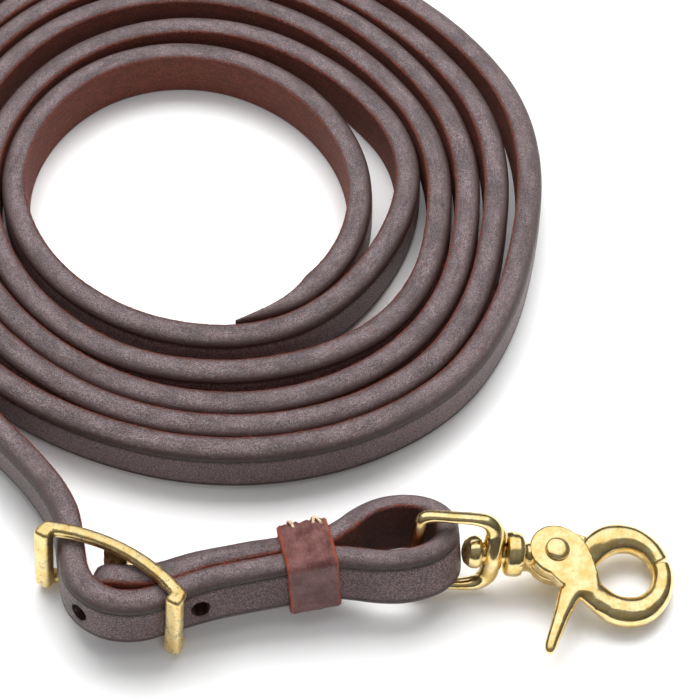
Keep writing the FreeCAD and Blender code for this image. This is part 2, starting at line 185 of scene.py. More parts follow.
def spline_points(points):
    """Points that a smooth NURBS spline through the route follows."""
    curve = bpy.data.curves.new("route", "CURVE")
    curve.dimensions = "3D"
    spline = curve.splines.new("NURBS")
    spline.points.add(len(points) - 1)
    for at, p in zip(spline.points, points):
        at.co = (*p, 1)
    spline.order_u = 3
    spline.use_endpoint_u = True
    curve.resolution_u = 16
    holder = bpy.data.objects.new("route", curve)
    scene.collection.objects.link(holder)
    mesh = bpy.data.meshes.new_from_object(holder)
    found = np.array([v.co for v in mesh.vertices], float).reshape(-1, 3)
    bpy.data.objects.remove(holder)
    return found


centre = spline_points(route_points())
tangent = np.gradient(centre, axis=0)
tangent /= np.linalg.norm(tangent, axis=1)[:, None]
along = np.concatenate([[0], np.cumsum(np.linalg.norm(np.diff(centre, axis=0), axis=1))])


def nearest_sample(point, first=0, last=None):
    gaps = np.linalg.norm(centre[first:last] - np.array(point), axis=1)
    return first + int(np.argmin(gaps))


LEAD_AT = nearest_sample(LEAD_END, len(centre) // 2)
RUN_IN = nearest_sample(STRAP_END @ Vector((-8, -2.05, 0)), LEAD_AT)
LOOP_MID = nearest_sample(STRAP_END @ Vector((35.2, 0, 0)), RUN_IN)
RUN_OUT = nearest_sample(STRAP_END @ Vector((-6, 2.4, 0)), LOOP_MID)


def smooth_step(x, low, high):
    t = np.clip((x - low) / (high - low), 0, 1)
    return t * t * (3 - 2 * t)


def strap_ups():
    """Direction of the strap's width at every sample: upright in the coil, leaning at the end."""
    buckle_up = np.array(BUCKLE.to_3x3() @ UP)
    end_up = np.array(STRAP_END.to_3x3() @ UP)
    into_buckle = smooth_step(along, along[LEAD_AT] - 22, along[LEAD_AT] + 3)
    into_end = smooth_step(along, along[RUN_IN] - 8, along[RUN_IN] + 4)
    out_of_end = smooth_step(along, along[RUN_OUT] - 3, along[RUN_OUT] + 5)
    lean = into_end * (1 - out_of_end)
    in_loop = smooth_step(-np.abs(along - along[LOOP_MID]), -27, -12)
    flop = STRAP_END @ Matrix.Rotation(math.radians(-LOOP_LEAN), 4, "X")
    loop_up = np.array(flop.to_3x3() @ UP)
    end_up = end_up[None, :] * (1 - in_loop)[:, None] + loop_up[None, :] * in_loop[:, None]
    ups = np.array(UP)[None, :] * (1 - into_buckle)[:, None]
    ups = ups + buckle_up[None, :] * (into_buckle * (1 - lean))[:, None]
    return ups + end_up * (into_buckle * lean)[:, None]


# ---------------------------------------------------------------- strap section
# One point of the section: share and offset across the thickness (flesh 0, grain 1),
# share and offset up the width, then how much it is flesh, edge, crease and fuzz.
SECTION = (
    (0, 0.02, 0, .55, 1, 0, 0, .3), (0, 0, .22, 0, 1, 0, 0, 0), (0, 0, .4, 0, 1, 0, 0, 0),
    (0, 0, .6, 0, 1, 0, 0, 0), (0, 0, .78, 0, 1, 0, 0, 0), (0, 0, 1, -.9, 1, 0, 0, 0),
    (0, .0, 1, -.5, .95, .05, 0, .35), (0, .05, 1, -.24, .5, .5, 0, .9),
    (0, .2, 1, -.09, .15, .85, 0, .9), (0, .42, 1, -.02, 0, 1, 0, .25),
    (0, .8, 1, .03, 0, 1, 0, 0), (.34, 0, 1, .07, 0, 1, 0, 0), (.5, 0, 1, .07, 0, 1, 0, 0),
    (1, -1.5, 1, .01, 0, 1, 0, 0), (1, -1.05, 1, -.1, 0, 1, 0, 0),
    (1, -.68, 1, -.27, 0, 1, .06, 0), (1, -.36, 1, -.55, 0, 1, .3, 0),
    (1, -.12, 1, -.9, 0, .95, .55, 0), (1, -.03, 1, -1.16, 0, .85, .8, 0),
    (1, -.27, 1, -1.40, 0, .4, 1, 0), (1, -.04, 1, -1.66, 0, 0, .6, 0),
    (1, .03, 1, -2.1, 0, 0, 0, 0), (1, .05, .62, 0, 0, 0, 0, 0),
    (1, .06, .5, 0, 0, 0, 0, 0), (1, .05, .38, 0, 0, 0, 0, 0),
    (1, .03, 0, 2.1, 0, 0, 0, 0), (1, -.03, 0, 1.62, 0, 0, .3, 0),
    (1, -.16, 0, 1.36, 0, .4, .7, 0), (1, -.03, 0, 1.12, 0, .8, .4, 0),
    (1, -.1, 0, .85, 0, .95, .1, 0), (1, -.3, 0, .52, 0, 1, 0, 0),
    (1, -.58, 0, .27, 0, 1, 0, 0), (1, -.92, 0, .11, 0, 1, 0, 0),
    (1, -1.3, 0, .03, 0, 1, 0, 0), (.5, 0, 0, 0, 0, 1, 0, 0), (.3, 0, 0, 0, 0, 1, 0, 0),
    (0, .5, 0, 0, 0, 1, 0, .2), (0, .12, 0, .12, .5, .5, 0, .5),
)
FUZZ_POINT = 8


def thickness(i):
    """Thickness at a sample: thinned at the inner tip, and thinner from the buckle on."""
    turn_share = (along[i] / (2 * math.pi * TIP_RADIUS)) / TIP_TAPER
    tip = min(1.0, TIP_THIN + (1 - TIP_THIN) * turn_share)
    at_end = float(smooth_step(along[i], along[RUN_IN] - 12, along[RUN_IN] + 3))
    bend = float(smooth_step(-abs(along[i] - along[LOOP_MID]), -24, -14))
    back = float(smooth_step(along[i], along[RUN_OUT] - 14, along[RUN_OUT] - 4))
    thick = COIL_T + (END_T - COIL_T) * at_end + (LOOP_T - END_T) * bend
    return (thick + (BACK_T - END_T) * back) * tip


def half_width(i):
    """Half the strap's width: the tail's tip is round."""
    left = along[-1] - along[i]
    half = STRAP_W / 2
    if left < half:
        return math.sqrt(max(0.06, half ** 2 - (half - left) ** 2))
    return half


def ripple(s, seed, length):
    """Slow unevenness along the strap, from -1 to 1."""
    return noise.noise(Vector((s / length, seed * 7.7, seed * 3.1)))


def new_object(name, verts, faces):
    mesh = bpy.data.meshes.new(name)
    mesh.from_pydata([tuple(v) for v in verts], [], faces)
    obj = bpy.data.objects.new(name, mesh)
    scene.collection.objects.link(obj)
    return obj


def fix_normals(obj):
    bm = bmesh.new()
    bm.from_mesh(obj.data)
    bmesh.ops.recalc_face_normals(bm, faces=bm.faces)
    for face in bm.faces:
        face.smooth = True
        if len(face.verts) > 4:
            for side in face.edges:
                side.smooth = False
    bm.to_mesh(obj.data)
    bm.free()


def set_attributes(obj, strap, zones):
    """Strap coordinates in mm, and the share of flesh, edge, crease and fuzz."""
    made = obj.data.attributes.new("strap", "FLOAT_VECTOR", "POINT")
    made.data.foreach_set("vector", np.array(strap, np.float32).ravel())
    made = obj.data.attributes.new("zones", "FLOAT_COLOR", "POINT")
    made.data.foreach_set("color", np.array(zones, np.float32).ravel())


def sweep_strap(name, first, last, ups):
    """Mesh of the strap between two samples; returns it and its flesh-side top corner."""
    verts, strap, zones, corner = [], [], [], []
    count = len(SECTION)
    for i in range(first, last + 1):
        t = tangent[i]
        grain = np.cross(t, ups[i])
        grain /= np.linalg.norm(grain)
        up = np.cross(grain, t)
        thick = thickness(i)
        full = min(thick / COIL_T, 1)
        high = (COIL_T if i < LEAD_AT - 200 else thick) / 2
        low = high - thick
        half = half_width(i)
        small = half / (STRAP_W / 2)
        lift = 0.05 * ripple(along[i], 1, 9) + 0.035 * ripple(along[i], 2, 2.1)
        for k, (ka, da, kb, db, *zone) in enumerate(SECTION):
            a = low + ka * thick + da * min(full * 1.1, 1)
            b = half * (2 * kb - 1) + db * small + (lift * small if kb == 1 else 0)
            if zone[3] > 0.5 and kb == 1:
                a += 0.05 * ripple(along[i], 3, .7) + 0.03 * ripple(along[i], 4, .3)
                b += 0.05 * ripple(along[i], 5, .8)
            verts.append(centre[i] + grain * a + up * b)
            strap.append((along[i], a, b))
            zones.append(zone)
            if k == FUZZ_POINT:
                corner.append((verts[-1], t, grain, up))
    faces = []
    rings = last - first + 1
    for r in range(rings - 1):
        for k in range(count):
            n = (k + 1) % count
            faces.append((r * count + k, r * count + n, (r + 1) * count + n,
                          (r + 1) * count + k))
    faces.append(tuple(range(count)))
    faces.append(tuple((rings - 1) * count + k for k in reversed(range(count))))
    obj = new_object(name, verts, faces)
    set_attributes(obj, strap, zones)
    fix_normals(obj)
    return obj, corner


def to_metres(obj):
    obj.data.transform(Matrix.Scale(MM, 4))
    return obj


def fibre_rings(root, lean, bend, size, t, grain):
    """Three triangles of a fibre that thins and bends towards its tip."""
    thin = random.uniform(.02, .045)
    rings = []
    for step in range(3):
        u = step / 2
        mid = root + lean * size * u + bend * u * u
        wide = thin * (1 - .6 * u)
        rings.append((mid + t * wide, mid + grain * wide, mid - t * wide - grain * wide))
    return rings


def fibres(name, corner, per_mm, reach):
    """Loose fibres of leather along a cut corner."""
    verts, faces = [], []
    for (at, t, grain, up), (after, *_) in zip(corner, corner[1:]):
        gap = float(np.linalg.norm(np.array(after) - np.array(at)))
        wanted = gap * per_mm * (0.5 + 1.0 * max(0, ripple(at[0] * 3 + at[1] * 5, 6, 9) + .4))
        for _ in range(int(wanted + random.random())):
            root = np.array(at) + (np.array(after) - np.array(at)) * random.random()
            root = root + grain * random.uniform(-.05, .14)
            lean = -grain * random.uniform(-.2, .9) + up * random.uniform(.1, .8)
            lean = lean + t * random.uniform(-1, 1)
            lean /= np.linalg.norm(lean)
            size = reach * (0.35 + random.random() ** 3)
            bend = t * random.uniform(-.5, .5) * size + grain * random.uniform(-.3, .3) * size
            base = len(verts)
            for ring in fibre_rings(root, lean, bend, size, t, grain):
                verts.extend(ring)
            for one in (base, base + 3):
                for k in range(3):
                    n = (k + 1) % 3
                    faces.append((one + k, one + n, one + 3 + n, one + 3 + k))
    obj = new_object(name, verts, faces)
    fix_normals(obj)
    return to_metres(obj)


ups = strap_ups()
strap, coil_corner = sweep_strap("strap", 0, LEAD_AT, ups)
to_metres(strap)
strap_fibres = fibres("strap_fibres", coil_corner, 1.6, 0.55)

# ---------------------------------------------------------------- materials
def tree(name):
    material = bpy.data.materials.new(name)
    material.use_nodes = True
    nodes = material.node_tree.nodes
    nodes.clear()
    shader = nodes.new("ShaderNodeBsdfPrincipled")
    out = nodes.new("ShaderNodeOutputMaterial")
    material.node_tree.links.new(shader.outputs[0], out.inputs["Surface"])
    return material, shader


def add(material, kind, inputs=None, **settings):
    """A node with its inputs set or linked: sockets link, numbers are set."""
    node = material.node_tree.nodes.new("ShaderNode" + kind)
    for key, value in settings.items():
        setattr(node, key, value)
    for key, value in (inputs or {}).items():
        if isinstance(value, bpy.types.NodeSocket):
            material.node_tree.links.new(value, node.inputs[key])
        else:
            node.inputs[key].default_value = value
    return node


def link(material, source, socket):
    material.node_tree.links.new(source, socket)


def maths(m, operation, a, b=0.0, clamp=False):
    node = add(m, "Math", {0: a, 1: b}, operation=operation, use_clamp=clamp)
    return node.outputs[0]


def fade(m, value, low, high, to_low=0.0, to_high=1.0):
    """Value remapped from low..high, clamped."""
    node = add(m, "MapRange", {0: value, 1: low, 2: high, 3: to_low, 4: to_high})
    return node.outputs[0]


def blend(m, share, one, two):
    return add(m, "MixRGB", {0: share, 1: one, 2: two}, blend_type="MIX").outputs[0]


def rgb(r, g, b):
    return (r, g, b, 1.0)


def noise_at(m, place, scale, detail=3.0, rough=.55, twist=0.0):
    node = add(m, "TexNoise", {"Vector": place, "Scale": scale, "Detail": detail,
                               "Roughness": rough, "Distortion": twist})
    return node.outputs["Fac"]


def stretched(m, place, x, y, z):
    return add(m, "Mapping", {"Vector": place, "Scale": (x, y, z)}).outputs[0]


def scaled(m, colour, factor):
    return add(m, "VectorMath", {0: colour, "Scale": factor}, operation="SCALE").outputs[0]


def bump(m, height, distance):
    """Distance is in metres."""
    inputs = {"Height": height, "Distance": distance, "Strength": 1.0}
    return add(m, "Bump", inputs).outputs[0]


def leather_maps(m):
    """Strap coordinates in mm, zones and noises that the leather is made from."""
    place = add(m, "Attribute", attribute_name="strap").outputs["Vector"]
    parts = add(m, "SeparateXYZ", {0: place}).outputs
    zones = add(m, "Attribute", attribute_name="zones")
    split = add(m, "SeparateColor", {0: zones.outputs["Color"]}).outputs
    cell = add(m, "TexVoronoi", {"Vector": place, "Scale": 2.4, "Randomness": 1.0},
               feature="DISTANCE_TO_EDGE")
    return SimpleNamespace(
        place=place, along=parts[0], across=parts[1],
        flesh=split[0], edge=split[1], crease=split[2], fuzz=zones.outputs["Alpha"],
        cell=cell.outputs["Distance"],
        pore=noise_at(m, place, 3.0, 4, .65),
        worn=noise_at(m, place, 1.3, 5, .7),
        fibre=noise_at(m, stretched(m, place, .8, 1.5, 1.5), 2.6, 6, .78),
        speck=noise_at(m, stretched(m, place, 1.0, 1.3, 1.3), 4.6, 3, .65),
        nap=noise_at(m, place, 2.2, 9, .75))


def grain_colour(m, maps):
    """Outer face: mottled brown, pale pebbles with dark lines between them."""
    blotch = noise_at(m, maps.place, .09, 4)
    colour = blend(m, fade(m, blotch, .35, .65), rgb(.110, .054, .055), rgb(.205, .118, .123))
    colour = blend(m, fade(m, maps.pore, .42, .66, .0, .9), colour, rgb(.330, .218, .228))
    colour = blend(m, fade(m, maps.cell, 0.0, .20, .95, 0.0), colour, rgb(.020, .007, .008))
    return blend(m, fade(m, maps.pore, .47, .36, 0.0, .8), colour, rgb(.022, .009, .010))


def edge_colour(m, maps):
    """Burnished edges: fibrous, speckled, with painted shade making them browner towards both faces.
    """
    colour = blend(m, fade(m, maps.fibre, .40, .60), rgb(.072, .047, .049),
                   rgb(.195, .150, .158))
    colour = blend(m, fade(m, maps.speck, .55, .62, 0.0, .95), colour, rgb(.010, .004, .004))
    colour = blend(m, fade(m, maps.speck, .43, .34, 0.0, .85), colour, rgb(.330, .275, .290))
    rusty = noise_at(m, maps.place, .8, 4, .7)
    colour = blend(m, fade(m, rusty, .52, .70, 0.0, .65), colour, rgb(.110, .046, .038))
    patch = noise_at(m, stretched(m, maps.place, .35, 1.0, 1.0), .5, 3)
    colour = scaled(m, colour, fade(m, patch, .36, .60, .70, 1.18))
    # Painted shade of the rounded crown: the edge darkens unevenly towards both faces.
    uneven = maths(m, "MULTIPLY", maths(m, "SUBTRACT", maps.worn, .5), 2.4)
    side = maths(m, "ADD", maps.across, uneven)
    crown_shade = maths(m, "ADD", fade(m, side, .3, 1.9, 0.0, .86),
                  fade(m, side, -2.3, -1.0, .72, 0.0), True)
    return blend(m, crown_shade, colour, rgb(.046, .022, .019))


def flesh_colour(m, maps):
    """Inner face: red-brown suede, darkened inside the end loop by painted shade."""
    streak = noise_at(m, stretched(m, maps.place, .25, 1.0, .9), 1.4, 4, .6)
    colour = blend(m, fade(m, maps.nap, .34, .68), rgb(.085, .017, .009),
                   rgb(.330, .088, .050))
    colour = blend(m, fade(m, streak, .42, .62, 0.0, .5), colour, rgb(.095, .030, .022))
    colour = blend(m, fade(m, maps.speck, .58, .66, 0.0, .7), colour, rgb(.012, .004, .003))
    # Painted shade: the suede is scaled to .38 within 18 mm of the loop's middle, back to full by 25
    # mm.
    loop_middle = float(along[LOOP_MID])
    from_loop = maths(m, "ABSOLUTE", maths(m, "SUBTRACT", maps.along, loop_middle))
    return scaled(m, colour, fade(m, from_loop, 18, 25, .38, 1.0))


def leather_height(m, maps, torn):
    grain = maths(m, "MULTIPLY", fade(m, maps.cell, 0.0, .2), .5)
    grain = maths(m, "ADD", grain, maps.pore)
    edge = maths(m, "ADD", maths(m, "MULTIPLY", maps.fibre, .9),
                 maths(m, "MULTIPLY", maps.speck, -.45))
    suede = maths(m, "MULTIPLY", maps.nap, 3.2)
    height = blend(m, maps.edge, grain, edge)
    return blend(m, maths(m, "MAXIMUM", maps.flesh, torn), height, suede)


def strap_leather(name):
    """Bridle leather: pebbled grain, burnished fibrous edges, red-brown suede inside."""
    m, shader = tree(name)
    maps = leather_maps(m)
    colour = blend(m, maps.edge, grain_colour(m, maps), edge_colour(m, maps))
    # Painted shade in the edge crease: the crease zone is darkened to near black, and noise varies
    # its strength.
    crease_shade_strength = fade(m, maps.worn, .30, .55, .70, 1.25)
    seam = maths(m, "MULTIPLY", maps.crease, crease_shade_strength, True)
    colour = blend(m, seam, colour, rgb(.020, .007, .005))
    colour = blend(m, maps.flesh, colour, flesh_colour(m, maps))
    broken = noise_at(m, maps.place, 1.5, 7, .8)
    torn = maths(m, "MULTIPLY", maps.fuzz, fade(m, broken, .46, .56), True)
    frayed_colour = blend(m, fade(m, maps.nap, .4, .62), rgb(.15, .022, .010),
                          rgb(.42, .078, .028))
    link(m, blend(m, torn, colour, frayed_colour), shader.inputs["Base Color"])

    smooth = fade(m, maps.fibre, .3, .7, .36, .52)
    rough = maths(m, "ADD", maths(m, "MULTIPLY", maps.flesh, .5), smooth, True)
    rough = maths(m, "ADD", rough, maths(m, "MULTIPLY", torn, .5), True)
    link(m, rough, shader.inputs["Roughness"])
    shader.inputs["Specular IOR Level"].default_value = .8
    link(m, bump(m, leather_height(m, maps, torn), .0002), shader.inputs["Normal"])
    return m


def fibre_material():
    """Frayed leather fibres: orange-red, some darker."""
    m, shader = tree("frayed_fibre")
    place = add(m, "TexCoord").outputs["Object"]
    mixed = noise_at(m, place, 900.0, 3)
    colour = blend(m, fade(m, mixed, .38, .62), rgb(.16, .030, .016), rgb(.55, .115, .040))
    link(m, colour, shader.inputs["Base Color"])
    shader.inputs["Roughness"].default_value = .9
    return m


leather = strap_leather("strap_leather_look")
frayed = fibre_material()


def dress(obj, material, body):
    obj.data.materials.clear()
    obj.data.materials.append(material)
    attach(obj, body)
    return obj


dress(strap, leather, "leash")
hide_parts("strap_coil", "strap_lead")
dress(strap_fibres, frayed, "leash")

# ---------------------------------------------------------------- doubled end of the strap
strap_end, end_corner = sweep_strap("strap_end", LEAD_AT, len(centre) - 1, ups)


def bar_mesh(at, axis, radius, length):
    """Closed round bar, for punching holes, in mm."""
    bm = bmesh.new()
    bmesh.ops.create_cone(bm, cap_ends=True, segments=40, radius1=radius, radius2=radius,
                          depth=length)
    turn = Vector(axis).to_track_quat("Z", "Y").to_matrix().to_4x4()
    bmesh.ops.transform(bm, matrix=Matrix.Translation(at) @ turn, verts=bm.verts)
    mesh = bpy.data.meshes.new("punch")
    bm.to_mesh(mesh)
    bm.free()
    obj = bpy.data.objects.new("punch", mesh)
    scene.collection.objects.link(obj)
    return obj


def applied(obj):
    """Replace an object's mesh by the one its modifiers give."""
    view = bpy.context.evaluated_depsgraph_get()
    mesh = bpy.data.meshes.new_from_object(obj.evaluated_get(view))
    obj.modifiers.clear()
    obj.data = mesh
    return obj


def cut_out(obj, punch):
    """Subtract a closed mesh, and remove it."""
    cut = obj.modifiers.new("cut", "BOOLEAN")
    cut.operation = "DIFFERENCE"
    cut.solver = "FAST"
    cut.object = punch
    bpy.context.view_layer.update()
    applied(obj)
    bpy.data.objects.remove(punch)


def read_attribute(mesh, name, field, width):
    values = np.zeros(len(mesh.vertices) * width, np.float32)
    mesh.attributes[name].data.foreach_get(field, values)
    return values.reshape(-1, width)


# Inside a punched hole: nearly all crease, so the crease's painted shade makes it dark.
HOLE_ZONE = (.15, 0, 1, 0)
HOLE_WALL_GAP = .35


def punched(obj, punches):
    """Cut the bars out, then give new points the attributes of the old ones nearest."""
    old = obj.data
    nearest = kdtree.KDTree(len(old.vertices))
    for v in old.vertices:
        nearest.insert(v.co, v.index)
    nearest.balance()
    strap_at = read_attribute(old, "strap", "vector", 3)
    zone_at = read_attribute(old, "zones", "color", 4)
    for punch in punches:
        cut_out(obj, punch)
    places, zones = [], []
    for v in obj.data.vertices:
        _, index, gap = nearest.find(v.co)
        places.append(strap_at[index])
        zones.append(HOLE_ZONE if gap > HOLE_WALL_GAP else zone_at[index])
    for name in ("strap", "zones"):
        if name in obj.data.attributes:
            obj.data.attributes.remove(obj.data.attributes[name])
    set_attributes(obj, places, zones)
    return obj


HOLE_R = 1.65
NEXT_HOLE = (-7.2, 0, -.5)
# Cosine and sine of the buckle's yaw place the peg's hole.
YAW_COS, YAW_SIN = .891, -.454
peg_at = leaned(BUCKLE_BASE[0] + PEG_X * YAW_COS, BUCKLE_BASE[1] + PEG_X * YAW_SIN)
peg_axis = BUCKLE.to_3x3() @ Vector((0, 1, 0))
next_axis = STRAP_END.to_3x3() @ Vector((0, 1, 0))
punched(strap_end, [bar_mesh(peg_at, peg_axis, HOLE_R, 30),
                    bar_mesh(STRAP_END @ Vector(NEXT_HOLE), next_axis, HOLE_R, 24)])
to_metres(strap_end)
dress(strap_end, leather, "leash")
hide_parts("strap_bulge", "strap_end_loop", "strap_tail_end")
end_fibres = fibres("strap_end_fibres", end_corner, 2.2, 0.45)
dress(end_fibres, frayed, "leash")


# ---------------------------------------------------------------- brass
def brass_material(name, pitting):
    """Polished cast brass: uneven shine, small casting pits, painted shade in the hollows."""
    m, shader = tree(name)
    place = add(m, "TexCoord").outputs["Object"]
    worn = noise_at(m, place, 300.0, 4, .55)
    pit = noise_at(m, place, 1300.0, 4, .65)
    cloud = noise_at(m, place, 420.0, 5, .65)
    hollow_shade = add(m, "NewGeometry").outputs["Pointiness"]
    colour = blend(m, fade(m, cloud, .38, .62), rgb(.80, .56, .20), rgb(.94, .78, .42))
    stain = fade(m, cloud, .60 - .06 * pitting, .72, 0.0, .25 + .6 * pitting)
    colour = blend(m, stain, colour, rgb(.30, .19, .06))
    colour = blend(m, fade(m, pit, .60, .70, 0.0, .3 + .6 * pitting), colour,
                   rgb(.20, .12, .04))
    # Painted shade in the hollows: concave places, found by pointiness, are darkened towards dark
    # brown.
    colour = blend(m, fade(m, hollow_shade, .42, .485, .85, 0.0), colour, rgb(.13, .075, .02))
    link(m, colour, shader.inputs["Base Color"])
    shader.inputs["Metallic"].default_value = 1.0
    link(m, fade(m, worn, .3, .7, .13 + .10 * pitting, .24 + .2 * pitting),
         shader.inputs["Roughness"])
    height = maths(m, "ADD", maths(m, "MULTIPLY", worn, 1.0),
                   maths(m, "MULTIPLY", pit, .12 + .9 * pitting))
    link(m, bump(m, height, .00003 + .00004 * pitting), shader.inputs["Normal"])
    return m


brass = brass_material("cast_brass", 0.0)
pitted = brass_material("pitted_brass", 1.0)


def cast(name, bm, voxel, rounds):
    """Turn overlapping volumes into one casting with softened edges."""
    mesh = bpy.data.meshes.new(name)
    bm.to_mesh(mesh)
    bm.free()
    obj = bpy.data.objects.new(name, mesh)
    scene.collection.objects.link(obj)
    grid = obj.modifiers.new("grid", "REMESH")
    grid.mode = "VOXEL"
    grid.voxel_size = voxel
    soften = obj.modifiers.new("soften", "SMOOTH")
    soften.factor = .5
    soften.iterations = rounds
    bpy.context.view_layer.update()
    applied(obj)
    obj.data.shade_smooth()
    return obj


def finish_brass(obj, body, *nodes):
    to_metres(obj)
    dress(obj, brass, body)
    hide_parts(*nodes)
    return obj


# ---------------------------------------------------------------- buckle
RAIL_R = 32.3
RAIL_DEPTH = 2.2
RAIL_CROWN = 4.6
RAIL_HEIGHT = 2.0
BUCKLE_HALF_H = 7.15


def add_box(bm, low, high, place, rounding=0.0):
    """Box between two corners, placed by a frame, its edges rounded if asked."""
    size = Vector(high) - Vector(low)
    middle = (Vector(high) + Vector(low)) / 2
    made = bmesh.ops.create_cube(bm, size=1)
    matrix = Matrix.Translation(middle) @ Matrix.Diagonal((*size, 1))
    bmesh.ops.transform(bm, matrix=place @ matrix, verts=made["verts"])
    if rounding:
        edges = list({e for v in made["verts"] for e in v.link_edges})
        bmesh.ops.bevel(bm, geom=edges, offset=rounding, segments=4, profile=.5,
                        affect="EDGES")


def add_bar(bm, at, axis, radius, length, place, taper=1.0):
    """Round bar from a point along an axis."""
    made = bmesh.ops.create_cone(bm, cap_ends=True, segments=32, radius1=radius,
                                 radius2=radius * taper, depth=length)
    turn = Vector(axis).to_track_quat("Z", "Y").to_matrix().to_4x4()
    matrix = Matrix.Translation(Vector(at)) @ turn @ Matrix.Translation((0, 0, length / 2))
    bmesh.ops.transform(bm, matrix=place @ matrix, verts=made["verts"])


def add_tube(bm, rings, place, close=False):
    """Skin over rings of points with equal counts, capped unless it closes on itself."""
    made = [[bm.verts.new(place @ Vector(p)) for p in ring] for ring in rings]
    count = len(made[0])
    pairs = list(zip(made, made[1:])) + ([(made[-1], made[0])] if close else [])
    for one, two in pairs:
        for k in range(count):
            n = (k + 1) % count
            bm.faces.new((one[k], one[n], two[n], two[k]))
    if not close:
        bm.faces.new(made[0][::-1])
        bm.faces.new(made[-1])


def rail_rings(z_low, z_high):
    """Arched rail, its section rounded along the top and front."""
    rings = []
    reach = 13.75
    for i in range(41):
        x = -reach + 2 * reach * i / 40
        outer = math.sqrt(RAIL_R ** 2 - x * x) - RAIL_R + RAIL_CROWN
        inner = outer - RAIL_DEPTH - .35 * (x / reach) ** 2
        rings.append([(x, inner, z_low + .35), (x, inner, z_high - .5),
                      (x, inner + .45, z_high), (x, outer - .45, z_high),
                      (x, outer, z_high - .45), (x, outer, z_low + .45),
                      (x, outer - .4, z_low), (x, inner + .4, z_low)])
    return rings


def buckle_mesh():
    """Conway buckle: arched rails, broad end bars, centre bar and fixed peg."""
    bm = bmesh.new()
    top = BUCKLE_HALF_H
    add_tube(bm, rail_rings(top - RAIL_HEIGHT, top), BUCKLE)
    add_tube(bm, rail_rings(-top, -top + RAIL_HEIGHT), BUCKLE)
    for side in (-1, 1):
        near, far = sorted((side * 11.25, side * 14.2))
        add_box(bm, (near, -1.75, -top), (far, .6, top), BUCKLE, .75)
    add_box(bm, (PEG_X - 2.0, 3.2, -top + 1), (PEG_X + 2.6, 4.9, top - 1), BUCKLE)
    add_bar(bm, (PEG_X, 4.0, 0), (0, -1, 0), 1.0, 7.8, BUCKLE, .85)
    return cast("buckle", bm, .18, 18)


def groove_rail(obj):
    """Fine line cast along the front of the upper rail."""
    back = BUCKLE.inverted()
    inward = BUCKLE.to_3x3() @ Vector((0, 1, 0))
    for v in obj.data.vertices:
        at = back @ v.co
        arch = math.sqrt(RAIL_R ** 2 - at.x ** 2) - RAIL_R + RAIL_CROWN - RAIL_DEPTH
        if abs(at.x) < 11 and abs(at.y - arch) < .55:
            v.co += inward * .20 * math.exp(-((at.z - 5.85) / .22) ** 2)
    return obj


buckle = finish_brass(groove_rail(buckle_mesh()), "leash", "conway_buckle")
buckle.data.materials[0] = pitted
def spun(profile, at=(0, 0, 0), turned=False):
    """Rings of a turned shape: distance along the axis and radius; X axis, or Z if turned."""
    rings = []
    for along_axis, r in profile:
        ring = []
        for k in range(48):
            angle = 2 * math.pi * k / 48
            c, d = r * math.cos(angle), r * math.sin(angle)
            point = (c, d, along_axis) if turned else (along_axis, c, d)
            ring.append(Vector(at) + Vector(point))
        rings.append(ring)
    return rings


def between(keys, steps, closed=False):
    """Smooth rows of numbers through the key rows."""
    rows = []
    count = len(keys)
    for i in range(count if closed else count - 1):
        if closed:
            quad = [keys[(i + k) % count] for k in (-1, 0, 1, 2)]
        else:
            quad = [keys[min(max(i + k, 0), count - 1)] for k in (-1, 0, 1, 2)]
        for step in range(steps):
            u = step / steps
            rows.append([.5 * (2 * q + (r - p) * u + (2 * p - 5 * q + 4 * r - w) * u * u
                               + (3 * q - p - 3 * r + w) * u ** 3)
                         for p, q, r, w in zip(*quad)])
    if not closed:
        rows.append(list(keys[-1]))
    return rows


def add_limb(bm, keys, place, across, steps=6, closed=False):
    """Cast limb through keys (x, y, z, half width, half depth); depth is along `across`."""
    rows = between(keys, steps, closed)
    depth = Vector(across)
    rings = []
    for i, (x, y, z, wide, deep) in enumerate(rows):
        after = rows[(i + 1) % len(rows)] if closed else rows[min(i + 1, len(rows) - 1)]
        before = rows[i - 1] if closed or i else rows[0]
        heading = (Vector(after[:3]) - Vector(before[:3])).normalized()
        side = heading.cross(depth).normalized()
        ring = []
        for k in range(28):
            angle = 2 * math.pi * k / 28
            c, d = math.cos(angle), math.sin(angle)
            c = math.copysign(abs(c) ** .95, c)
            d = math.copysign(abs(d) ** .95, d)
            ring.append(Vector((x, y, z)) + side * wide * c + depth * deep * d)
        rings.append(ring)
    add_tube(bm, rings, place, closed)


def add_plate(bm, outline, z_low, z_high, place):
    """Flat plate with a smooth outline."""
    points = between(outline, 5, True)
    low = [(x, y, z_low) for x, y in points]
    high = [(x, y, z_high) for x, y in points]
    add_tube(bm, [low, high], place)


# Keys of the eye: x, y, z, half width in the loop's plane, half depth.
EYE_KEYS = ((0, 0, 0, 1.15, 1.2), (0, 0, 4.7, 1.15, 1.2), (.4, 0, 6.1, 1.15, 1.2),
            (1.9, 0, 6.65, .95, 1.25), (5, 0, 6.65, .9, 1.25), (8.8, 0, 6.6, .95, 1.3),
            (11.3, 0, 6.0, 1.3, 1.45), (12.7, 0, 4.3, 1.65, 1.65), (12.9, 0, 2.3, 1.8, 2.2),
            (12.9, 0, 0, 1.8, 2.65), (12.9, 0, -2.3, 1.8, 2.2), (12.7, 0, -4.4, 1.65, 1.65),
            (11.3, 0, -6.1, 1.3, 1.45), (8.8, 0, -6.7, .95, 1.3), (5, 0, -6.8, .9, 1.25),
            (1.9, 0, -6.8, .95, 1.25), (.4, 0, -6.2, 1.15, 1.2), (0, 0, -4.7, 1.15, 1.2))
SHANK_R = 1.7
